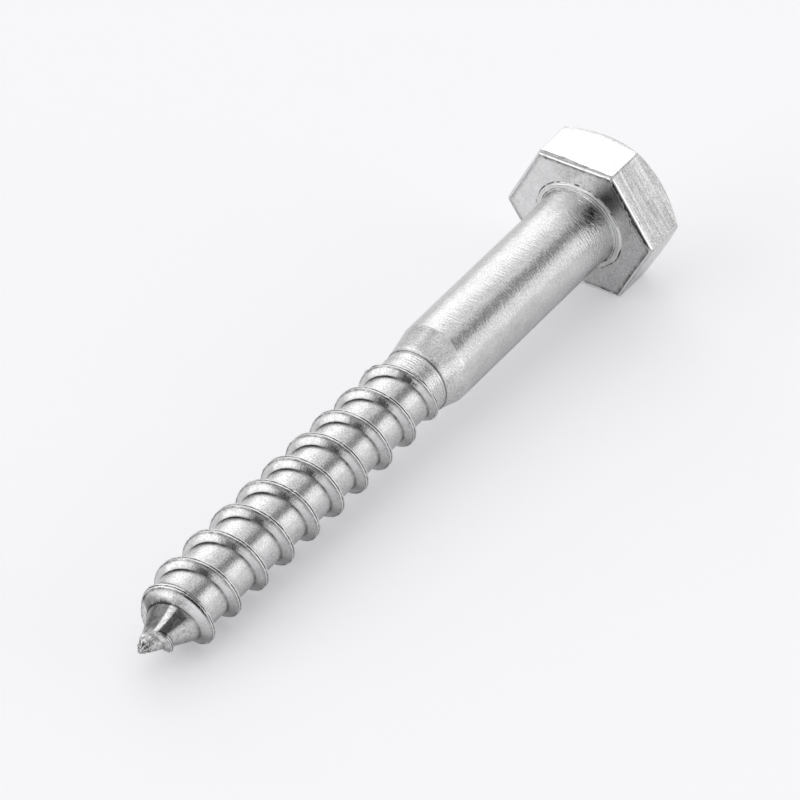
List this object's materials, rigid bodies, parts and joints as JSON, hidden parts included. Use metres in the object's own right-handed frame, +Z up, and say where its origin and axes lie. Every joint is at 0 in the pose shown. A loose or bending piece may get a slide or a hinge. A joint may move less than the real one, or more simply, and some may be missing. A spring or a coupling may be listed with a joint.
{
  "type": "lag screw",
  "caption": "Hexagon-head lag screw with a plain shank, a coarse right-hand wood thread and a gimlet point, lying at rest, for bolting fittings to timber.",
  "frame": {"origin": "on the floor, under the middle of the lying screw's bounding box", "axes": "+X along the screw from the head towards the point, +Z up. The screw rests on the lower bevelled edge of one head flat and on a thread crest, so its own axis dips 2.94 degrees towards the point; the mounts give the true axis."},
  "size_m": [0.0878, 0.0192, 0.017],
  "materials": {
    "steel": "bright stainless steel: satin drawn shank, rolled thread with burnished flanks, forged head faces and a darker rough-cut point"
  },
  "bodies": {
    "root": {"lag_screw": "steel"}
  },
  "joints": []
}
